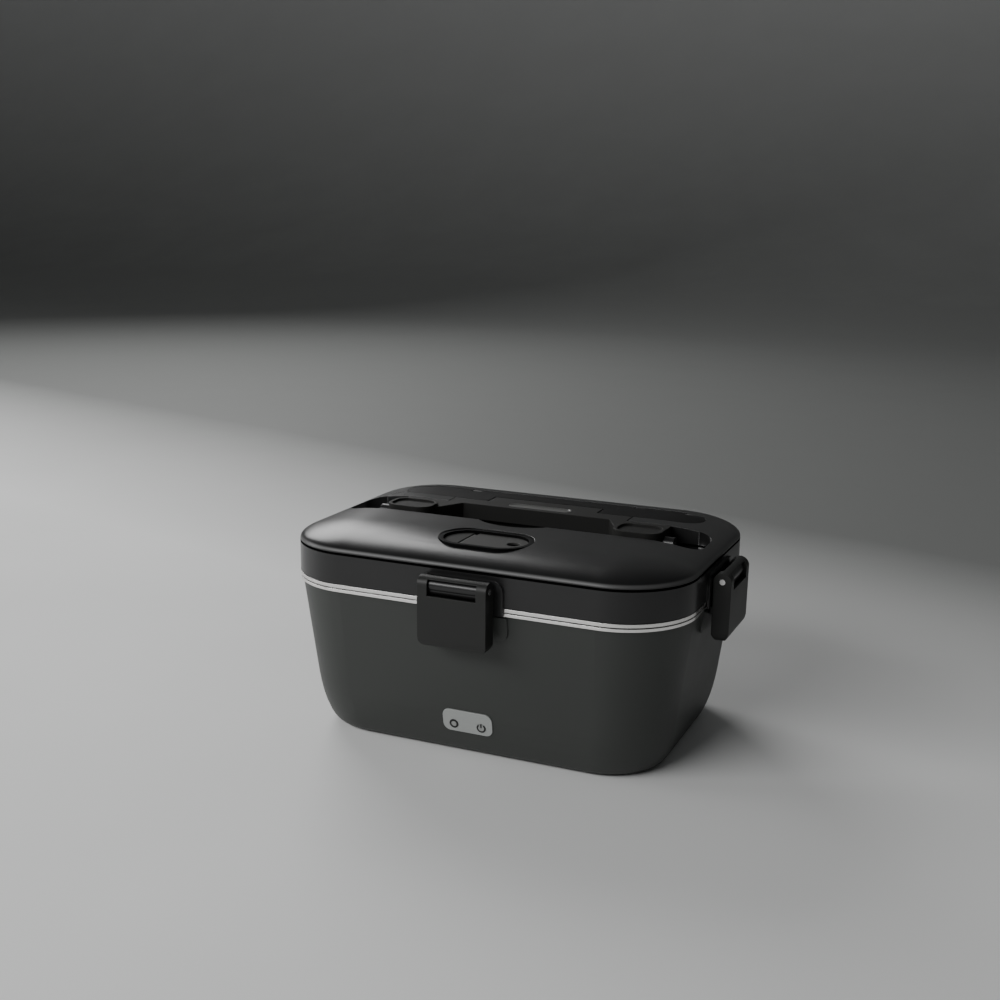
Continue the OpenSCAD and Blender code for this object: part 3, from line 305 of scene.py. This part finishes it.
def lid_finish():
    """Satin with a painted highlight on the lip, and painted shade as a dull black groove under
    it.
    """
    f = Finish("lid_black")
    x, y, height = (f.along(axis) for axis in range(3))
    fine, broad = f.noise(0.25, detail=2.0), f.noise(WIDE_PATCH)
    past_x, past_y = (
        wire.beyond(side * MM) for wire, side in zip((x, y), DOME_SIDES)
    )
    outside = (past_x ** 2.0 + past_y ** 2.0) ** 0.5 > (DOME_REACH - LIP_DEPTH) * MM
    # The band over the crease is a painted highlight on the lip, where the front light would
    # catch it.
    painted_highlight = crease_band(height, 0.8, 1.7, soft=0.7) * outside
    plain = f.mix(broad, (0.007, 0.007, 0.007, 1), (0.013, 0.013, 0.0135, 1))
    relief = f.bumped(fine, 0.003, 0.6)
    satin = f.shader(
        # The pale colour here is the painted highlight on the lip.
        Base_Color=f.mix(painted_highlight, plain, (0.075, 0.075, 0.075, 1)),
        Roughness=(0.30 + (broad - 0.5) * 0.12 + painted_highlight * 0.12).clamped(), Normal=relief,
    )
    # This dull black shader is painted shade in the crease's groove, where no light reaches.
    painted_groove_shade = f.shader(
        Base_Color=f.mix(fine, (0.001, 0.001, 0.001, 1), (0.003, 0.003, 0.003, 1)),
        Roughness=0.9, Specular_IOR_Level=0.02, Normal=relief,
    )
    # The height band where the painted shade of the groove is mixed in.
    groove_shade_band = crease_band(height, -1.3, -0.1, soft=0.15)
    return f.finished(f.node("ShaderNodeMixShader", {}, {0: groove_shade_band, 1: satin, 2: painted_groove_shade}))


lid_black = lid_finish()
print("lid finish has", len(lid_black.node_tree.nodes), "nodes")

# %% [markdown]
# The rim that shows under the lid is steel: the container's rolled edge over a thin trim
# ring. Both are brushed along their length. The grain is a noise that is squeezed very
# thin in height and stretched sideways, and it moves both the gloss and the relief. Pins
# and screws have an even grain. The plate and the inlay mirror less, so they count as
# part metal only.

# %% Steel and other metals
EVEN = (1, 1, 1)


def steel(name, colour, rough, stretch=(0.02, 0.02, 1.0), relief=0.004, easing=0.3, metal=1.0):
    """Brushed metal; a small number in stretch draws the grain out along that axis."""
    f = Finish(name)
    brushed = f.noise(0.35, 3.0, 0.7, stretch)
    smudge = f.noise(26.0)
    tone = (brushed * 0.7 + smudge * 0.3).clamped()
    return f.done(
        Base_Color=f.mix(tone, shade(colour, 0.86), shade(colour, 1.08)), Metallic=metal,
        Roughness=(rough + (brushed - 0.5) * 0.18 + (smudge - 0.5) * 0.12).clamped(),
        Normal=f.bumped(brushed, relief, easing),
    )


rim_steel = steel("rim_steel", (0.90, 0.89, 0.87), 0.28)
tub_steel = steel("tub_steel", (0.84, 0.83, 0.81), 0.26)
pin_steel = steel("pin_steel", (0.70, 0.70, 0.69), 0.25, EVEN, 0.002, 0.15)
screw_zinc = steel("screw_zinc", (0.62, 0.63, 0.64), 0.34, EVEN, 0.003, 0.1)
heater_aluminium = steel("heater_aluminium", (0.78, 0.79, 0.80), 0.40, (1.0, 0.03, 1.0), 0.005)
pin_brass = steel("pin_brass", (0.76, 0.53, 0.24), 0.28, EVEN, 0.002, 0.1)
plate_silver = steel(
    "plate_silver", (0.42, 0.435, 0.425), 0.42, (0.03, 1.0, 1.0), 0.003, metal=0.4
)
inlay_satin = steel(
    "inlay_satin", (0.20, 0.20, 0.195), 0.34, (0.05, 1.0, 1.0), 0.003, metal=0.7
)
print("with the metals", len(bpy.data.materials))

# %% [markdown]
# Rubber, ceramic and card fill in the rest. Each has its own scale of unevenness: dust on
# rubber, pores in ceramic, fibres in card.


# %% Rubber, ceramic and card
def soft(name, colour, rough=0.7, dust=0.10):
    """Rubber, silicone or ink with pale dust on it."""
    f = Finish(name)
    bloom = f.noise(9.0, detail=5.0)
    pores = f.noise(0.5, detail=2.0)
    pale = tuple(min(1, c + dust * 0.3) for c in colour) + (1,)
    return f.done(
        Base_Color=f.mix(((bloom - 0.45) * 2.0).clamped(), shade(colour), pale),
        Roughness=(rough + (bloom - 0.5) * 0.2).clamped(), Normal=f.bumped(pores, 0.02, 0.3),
    )


def fired(name, colour, rough=0.6):
    """Ceramic with pores about a millimetre apart."""
    f = Finish(name)
    pores = f.node("ShaderNodeTexVoronoi", {}, {"Vector": f.place(), "Scale": 900.0})
    cloud = f.noise(4.0, detail=4.0)
    return f.done(
        Base_Color=f.mix(cloud, shade(colour, 0.8), shade(colour)),
        Roughness=(rough + (cloud - 0.5) * 0.3).clamped(), Normal=f.bumped(pores, 0.02, 0.2),
    )


def fibrous(name, colour):
    """Card with fibres that lie along X."""
    f = Finish(name)
    fibres = f.noise(1.2, 6.0, 0.8, (0.15, 1, 1))
    return f.done(
        Base_Color=f.mix(fibres, shade(colour, 0.7), shade(colour)), Roughness=0.85,
        Normal=f.bumped(fibres, 0.05),
    )


foot_rubber = soft("foot_rubber", (0.012, 0.012, 0.012))
seal_silicone = soft("seal_silicone", (0.35, 0.06, 0.03), 0.5)
gasket_silicone = soft("gasket_silicone", (0.50, 0.50, 0.49), 0.45)
lead_red = soft("lead_red", (0.30, 0.02, 0.015), 0.45, 0.03)
lead_blue = soft("lead_blue", (0.02, 0.05, 0.25), 0.45, 0.03)
lead_cream = soft("lead_cream", (0.55, 0.50, 0.38), 0.45, 0.03)
heater_ceramic = fired("heater_ceramic", (0.72, 0.70, 0.66))
fuse_ceramic = fired("fuse_ceramic", (0.62, 0.52, 0.30), 0.35)
insulation_card = fibrous("insulation_card", (0.55, 0.50, 0.38))
board_green = moulded("board_green", (0.02, 0.12, 0.04), 0.35, grain=1.2, patch=0.2)
print("with rubber, ceramic, card and the board", len(bpy.data.materials))

# %% [markdown]
# The indicator plate holds two small lenses, one over the lamp and one under the power
# mark. They are cast in clear resin over a grey ground, so a faint haze lies under a
# glossy skin, which the shader's coat gives. The marks themselves are matte ink.


# %% Lamp lenses and ink
def lens(name, colour):
    """A small cast window, hazy inside and glossy on top."""
    f = Finish(name)
    haze = f.noise(1.1)
    return f.done(
        Base_Color=f.mix(haze, shade(colour, 0.6), shade(colour)),
        Roughness=(0.16 + haze * 0.1).clamped(), Coat_Weight=0.5, Coat_Roughness=0.05,
        Normal=f.bumped(haze, 0.01, 0.3),
    )


lamp_glass = lens("lamp_glass", (0.34, 0.35, 0.34))
mark_glass = lens("mark_glass", (0.36, 0.37, 0.36))
mark_ink = soft("mark_ink", (0.005, 0.005, 0.005), 0.6, 0.01)
print("with lenses and ink", len(bpy.data.materials))

# %% [markdown]
# The vent's seat is one black silicone piece with a raised oval ring, and the flat island
# inside the ring reads as dark grey. The ring's near black is partly the silicone's own
# black and partly painted shade of the groove round the island. The distance from the
# oval's middle line tells the two apart, so one material does both.

# %% The vent's silicone
# Width of the standing ring in millimetres.
VENT_RING = 2.75


def vent_finish():
    """Black on the standing ring, partly painted shade; dark grey and a little smoother on the
    island inside it.
    """
    f = Finish("vent_silicone")
    low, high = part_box("vent_seat")
    middle, size = (low + high) / 2, high - low
    x, y = (f.along(axis) for axis in range(2))
    past = (x - middle.x).beyond((size.x - size.y) / 2)
    away = (past ** 2.0 + (y - middle.y) ** 2.0) ** 0.5
    island = away < size.y / 2 - VENT_RING * MM
    cloud = f.noise(3.0)
    return f.done(
        # The ring's near-black colour is black silicone with painted groove shade on top of it.
        Base_Color=f.mix(island, (0.002, 0.002, 0.002, 1), (0.055, 0.055, 0.053, 1)),
        Roughness=(0.5 - island * 0.1 + cloud * 0.08).clamped(), Specular_IOR_Level=0.06,
        Normal=f.bumped(cloud, 0.006, 0.5),
    )


vent_silicone = vent_finish()
print("all finishes", len(bpy.data.materials))

# %% [markdown]
# Every CAD node keeps its exact shape and gets the finish its real part has. Pieces that
# deserve rounder forms are modelled further down and take the place of their nodes.

# %% Finishes for the CAD nodes
finishes = {
    base_grey: ["base_shell"],
    lid_black: ["lid_shell"],
    cover_dark: ["cutlery_cover"],
    flap_grey: ["vent_flap"],
    inner_black: ["bottom_cover", "inner_liner", "inlet_housing", "lid_inner_plate"],
    latch_grey: ["front_latch", "right_latch", "back_latch", "left_latch"],
    handle_grey: ["carry_handle"],
    foot_rubber: ["rubber_feet"],
    screw_zinc: ["cover_screws", "board_screws", "clamp_screws", "lid_screws", "heater_clamp"],
    rim_steel: ["trim_ring"],
    tub_steel: ["food_container"],
    heater_aluminium: ["heater_plate"],
    seal_silicone: ["plate_seal"],
    heater_ceramic: ["heating_blocks", "thermostat"],
    fuse_ceramic: ["thermal_fuse"],
    insulation_card: ["insulation_board"],
    plate_silver: ["indicator_plate"],
    inlay_satin: ["handle_inlay"],
    lamp_glass: ["lamp_lens"],
    mark_glass: ["power_mark_lens"],
    board_green: ["lamp_board"],
    pin_brass: ["inlet_pins"],
    lead_red: ["live_lead"],
    lead_blue: ["neutral_lead"],
    lead_cream: ["lamp_leads"],
    gasket_silicone: ["lid_gasket"],
    vent_silicone: ["vent_seat"],
    pin_steel: [
        "front_latch_pin", "right_latch_pin", "back_latch_pin", "left_latch_pin",
        "handle_pins", "cutlery_pins", "vent_pin"
    ],
}
for material, names in finishes.items():
    for name in names:
        node = frame["nodes"][name]
        node.data.materials.clear()
        node.data.materials.append(material)
dressed = sum(len(names) for names in finishes.values())
print(dressed, "of", len(frame["nodes"]), "nodes have a finish")

# %% [markdown]
# The CAD nodes are loose flat triangles, which show as facets on a swept wall. A welded
# copy fixes that: its corner points are merged, its flat areas become whole faces, and on
# the smaller pieces sharp corners are rounded as a mould rounds them. Then it is shaded
# smooth up to the corners that stay. The copy rides on the same body and takes the
# node's place.

# %% Welded copies with rounded corners
# Points nearer than this, in millimetres, become one.
WELD = 0.002
FLAT_DEGREES, SHARP_DEGREES, BEVEL_DEGREES = 0.4, 32, 40
BEVEL_STEPS = 3
FACE_WEIGHT = 90


def shown(name, shape, material, body):
    """A finished piece from a bmesh, smooth but for its corners, riding on a body."""
    mesh = bpy.data.meshes.new(name)
    bmesh.ops.recalc_face_normals(shape, faces=shape.faces)
    for face in shape.faces:
        face.smooth = True
    shape.to_mesh(mesh)
    shape.free()
    mesh.set_sharp_from_angle(angle=math.radians(SHARP_DEGREES))
    mesh.materials.append(material)
    made = bpy.data.objects.new(name, mesh)
    bpy.context.scene.collection.objects.link(made)
    even = made.modifiers.new("even", "WEIGHTED_NORMAL")
    even.keep_sharp, even.weight = True, FACE_WEIGHT
    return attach(made, body)


def corners(shape):
    """Edges where two faces meet at a real corner."""
    return [
        e for e in shape.edges
        if len(e.link_faces) == 2 and e.calc_face_angle(0) > math.radians(BEVEL_DEGREES)
    ]


def welded(node):
    """A node's mesh as a bmesh, with its points merged and its flat areas made whole."""
    shape = bmesh.new()
    shape.from_mesh(frame["nodes"][node].data)
    bmesh.ops.remove_doubles(shape, verts=shape.verts, dist=WELD * MM)
    bmesh.ops.dissolve_limit(
        shape, angle_limit=math.radians(FLAT_DEGREES), verts=shape.verts, edges=shape.edges
    )
    return shape


def skin(node, rounding=0.0):
    """A welded copy of a node, with corners rounded by a radius in millimetres."""
    shape = welded(node)
    if rounding:
        bmesh.ops.bevel(
            shape, geom=corners(shape), offset=rounding * MM, offset_type="OFFSET",
            segments=BEVEL_STEPS, profile=0.5, affect="EDGES", clamp_overlap=True, material=-1
        )
    source = frame["nodes"][node]
    made = shown(node + "_skin", shape, source.data.materials[0], source["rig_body"])
    print(node, len(made.data.polygons), "faces")
    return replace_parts(made, node)


skin("base_shell")
lid_skin = skin("lid_shell")
skin("cutlery_cover")
skin("food_container")
skin("trim_ring")
for side in ("front", "right", "back", "left"):
    skin(side + "_latch", rounding=0.45)
skin("carry_handle", rounding=0.6)
skin("indicator_plate", rounding=0.25)
skin("vent_flap", rounding=0.15)

# %% [markdown]
# The pockets cut the lid's dome into long thin faces, and a polished surface shows every
# one of them as a streak. The dome's own form is simple: a quarter ellipse carried round
# a rounded rectangle. So the direction of a true dome is worked out at each corner of each
# face on it, and written over the direction that the faces gave. The shape doesn't change.

# %% True directions on the lid's dome
# How far off the ellipse a point may be, and how nearly a face has to look its way.
ON_DOME, FACING = 0.03, 0.9


def dome_direction(point):
    """Outward direction of the dome's ellipse at a point, and how far off it the point is."""
    past = [
        math.copysign(max(abs(value) / MM - side, 0.0), value)
        for value, side in zip(point[:2], DOME_SIDES)
    ]
    rise = point[2] / MM - CREASE
    off = (past[0] ** 2 + past[1] ** 2) / DOME_REACH ** 2 + (rise / DOME_RISE) ** 2 - 1
    level = [value / DOME_REACH ** 2 for value in past]
    return Vector((*level, rise / DOME_RISE ** 2)).normalized(), abs(off)


bpy.context.view_layer.update()
evened = lid_skin.evaluated_get(bpy.context.evaluated_depsgraph_get()).data
directions = [corner.vector.copy() for corner in evened.corner_normals]
lid_mesh = lid_skin.data
set_right = 0
for face in lid_mesh.polygons:
    across, _ = dome_direction(face.center)
    found = [dome_direction(lid_mesh.vertices[v].co) for v in face.vertices]
    if all(off < ON_DOME for _, off in found) and across.dot(face.normal) > FACING:
        for corner, (direction, _) in zip(face.loop_indices, found):
            directions[corner] = direction
        set_right += 1
lid_skin.modifiers.clear()
lid_mesh.normals_split_custom_set(directions)
print(set_right, "faces of the dome have its true direction")

# %% [markdown]
# The plate carries a lamp in a dark printed ring and the usual mark of a switched
# appliance, an open ring with a bar. Both are thin bands a quarter of a millimetre proud
# of the plate, which is just over the lenses, so a small rectangle spun round the lens's
# own axis makes them. The plate leans with the wall, and its largest face gives the
# direction.

# %% Marks on the indicator plate
# Millimetres, but for the gap's half angle in degrees and the steps.
PROUD = 0.26
LAMP_INNER, LAMP_OUTER = 1.55, 2.6
MARK_INNER, MARK_OUTER = 1.75, 2.65
MARK_GAP = 38
BAR_WIDE, BAR_TALL, BAR_UP = 0.85, 2.3, 1.4
RING_STEPS = 40


def front_face(node):
    """Middle and outward direction of a node's largest face that looks forwards."""
    shape = welded(node)
    face = max((f for f in shape.faces if f.normal.y < -0.5), key=lambda f: f.calc_area())
    middle, out = face.calc_center_bounds(), face.normal.copy()
    shape.free()
    return middle, out


def up_the(out):
    """The direction up a leaning face that looks out."""
    return (Vector((0, 0, 1)) - out * out.z).normalized()


def print_band(shape, middle, out, inner, outer, first, last):
    """A thin ring, or part of one, round a point on a face, between two angles from the top."""
    start = Matrix.Rotation(math.radians(first), 3, out) @ up_the(out)
    raised = out * PROUD * MM
    ends = [
        middle + start * inner * MM, middle + start * outer * MM,
        middle + start * outer * MM + raised, middle + start * inner * MM + raised
    ]
    verts = [shape.verts.new(p) for p in ends]
    edges = [shape.edges.new((verts[k], verts[(k + 1) % 4])) for k in range(4)]
    whole = abs(last - first) >= 360
    turned = bmesh.ops.spin(
        shape, geom=verts + edges, cent=middle, axis=out, angle=math.radians(last - first),
        steps=RING_STEPS, use_merge=whole, use_duplicate=False
    )
    if not whole:
        bmesh.ops.contextual_create(shape, geom=edges)
        bmesh.ops.contextual_create(
            shape, geom=[e for e in turned["geom_last"] if isinstance(e, bmesh.types.BMEdge)]
        )


plate_face, plate_out = front_face("indicator_plate")


def on_plate(node):
    """The middle of a lens, moved along the plate's direction to the plate's front face."""
    point, _ = front_face(node)
    return point + plate_out * (plate_face - point).dot(plate_out)


ring = bmesh.new()
print_band(ring, on_plate("lamp_lens"), plate_out, LAMP_INNER, LAMP_OUTER, 0, 360)
shown("lamp_ring", ring, mark_ink, "base")
print("plate leans", round(math.degrees(math.asin(-plate_out.z)), 1), "degrees")

# %% The power mark
mark_middle = on_plate("power_mark_lens")
mark = bmesh.new()
print_band(mark, mark_middle, plate_out, MARK_INNER, MARK_OUTER, MARK_GAP, 360 - MARK_GAP)
bar = bmesh.ops.create_cube(mark, size=1)["verts"]
bmesh.ops.scale(mark, vec=(BAR_WIDE * MM, PROUD * MM, BAR_TALL * MM), verts=bar)
bmesh.ops.rotate(
    mark, cent=(0, 0, 0), verts=bar,
    matrix=Vector((0, -1, 0)).rotation_difference(plate_out).to_matrix()
)
bmesh.ops.translate(
    mark, vec=mark_middle + up_the(plate_out) * BAR_UP * MM + plate_out * PROUD / 2 * MM,
    verts=bar
)
power_mark = shown("power_mark", mark, mark_ink, "base")
print("mark", [round(v / MM, 1) for v in power_mark.dimensions])

# %% [markdown]
# The handle's inlay is a pressed metal strip: a bright raised rim round a duller floor.
# One inset of the top face makes the rim and a second one makes the step down.

# %% Inlay of the handle
# Millimetres.
INLAY_RIM, INLAY_SLOPE, INLAY_STEP = 0.7, 0.3, 0.35
strip = welded("handle_inlay")
top = max(strip.faces, key=lambda f: f.normal.z * f.calc_area())
bmesh.ops.inset_region(strip, faces=[top], thickness=INLAY_RIM * MM, depth=0)
bmesh.ops.inset_region(strip, faces=[top], thickness=INLAY_SLOPE * MM, depth=-INLAY_STEP * MM)
strip_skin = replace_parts(shown("inlay_strip", strip, inlay_satin, "handle"), "handle_inlay")
print("inlay", [round(v / MM, 1) for v in strip_skin.dimensions])

# %% [markdown]
# The box stands on a plain pale floor that curves up into a backdrop. One sheet makes
# both: its far edge is pulled up, and a bevel turns the fold into a wide curve. Its colour
# darkens behind the box and to the right, as painted shade and the box's painted shadow
# on the right. It gets paler again up the backdrop.

# %% Floor
# Metres, and rates of change a metre.
FLOOR_HALF, FLOOR_WIDER = 4.5, 3
BACKDROP, COVE, COVE_STEPS = 5, 2.4, 24
# Where the painted shade and the box's painted shadow darken the floor, and how fast.
DARK_FROM, DARK_SLANT, DARK_RATE, PALE_RATE = 0.1, 0.3, 2.2, 0.6


def floor_finish():
    """Pale where the box stands, with painted shade behind it and to the right, and paler again
    with height.
    """
    f = Finish("floor")
    cloud = f.noise(180.0)
    grain = f.noise(1.5, detail=2.0)
    side, back, height = (f.along(axis) for axis in range(3))
    # Painted shade behind the box, and the box's painted shadow to the right.
    painted_shade_behind = ((back - DARK_FROM + side * DARK_SLANT) * DARK_RATE).clamped()
    dim = (cloud * 0.06 - height * PALE_RATE + painted_shade_behind).clamped()
    return f.done(
        Base_Color=f.mix(dim, (0.88, 0.885, 0.88, 1), (0.20, 0.205, 0.20, 1)),
        Roughness=(0.62 + (cloud - 0.5) * 0.1).clamped(), Normal=f.bumped(grain, 0.01),
    )


sheet = bmesh.new()
bmesh.ops.create_grid(sheet, x_segments=1, y_segments=1, size=FLOOR_HALF)
bmesh.ops.scale(sheet, vec=(FLOOR_WIDER, 1, 1), verts=sheet.verts)
far = [e for e in sheet.edges if all(v.co.y > 0 for v in e.verts)]
wall = bmesh.ops.extrude_edge_only(sheet, edges=far)["geom"]
wall_top = [v for v in wall if isinstance(v, bmesh.types.BMVert)]
bmesh.ops.translate(sheet, vec=(0, 0, BACKDROP), verts=wall_top)
bmesh.ops.bevel(
    sheet, geom=far, offset=COVE, offset_type="OFFSET", segments=COVE_STEPS, profile=0.5,
    affect="EDGES", clamp_overlap=True, material=-1
)
for face in sheet.faces:
    face.smooth = True
    if face.calc_center_median().z < MM and face.normal.z < 0:
        face.normal_flip()
floor_mesh = bpy.data.meshes.new("floor")
sheet.to_mesh(floor_mesh)
sheet.free()
floor = bpy.data.objects.new("floor", floor_mesh)
floor_mesh.materials.append(floor_finish())
bpy.context.scene.collection.objects.link(floor)
print("floor", [round(v, 2) for v in floor.dimensions])

# %% [markdown]
# The light is soft, as in a studio. The panel behind on the left is what the black lid
# mirrors on its left half. A wide one stands in front, higher up and to the left, and a
# smaller one stands low on the left. A pale world keeps the shadows open.


# %% Lights
def panel(name, place, aim, size, watts):
    """A soft rectangular light at a place, turned to a point, that the camera doesn't see."""
    light = bpy.data.lights.new(name, "AREA")
    light.shape, light.size, light.size_y = "RECTANGLE", *size
    light.energy = watts
    made = bpy.data.objects.new(name, light)
    bpy.context.scene.collection.objects.link(made)
    made.location = place
    made.rotation_euler = (Vector(aim) - Vector(place)).to_track_quat("-Z", "Y").to_euler()
    made.visible_camera = False


panel("back_left", place=(-1.38, 1.28, 1.22), aim=(0, 0, 0.1), size=(1.0, 1.0), watts=18)
panel("front_strip", place=(-0.95, -1.8, 1.35), aim=(0, -0.1, 0.0), size=(2.0, 0.7), watts=36)
panel("left_low", place=(-2.0, -0.4, 0.6), aim=(0, 0, 0.05), size=(0.8, 0.8), watts=11)
world = bpy.data.worlds.new("studio")
bpy.context.scene.world = world
world.use_nodes = True
sky = world.node_tree.nodes["Background"]
sky.inputs["Color"].default_value = (0.84, 0.86, 0.86, 1)
sky.inputs["Strength"].default_value = 0.09
print(len(bpy.data.lights), "panels and a pale world")

# %% [markdown]
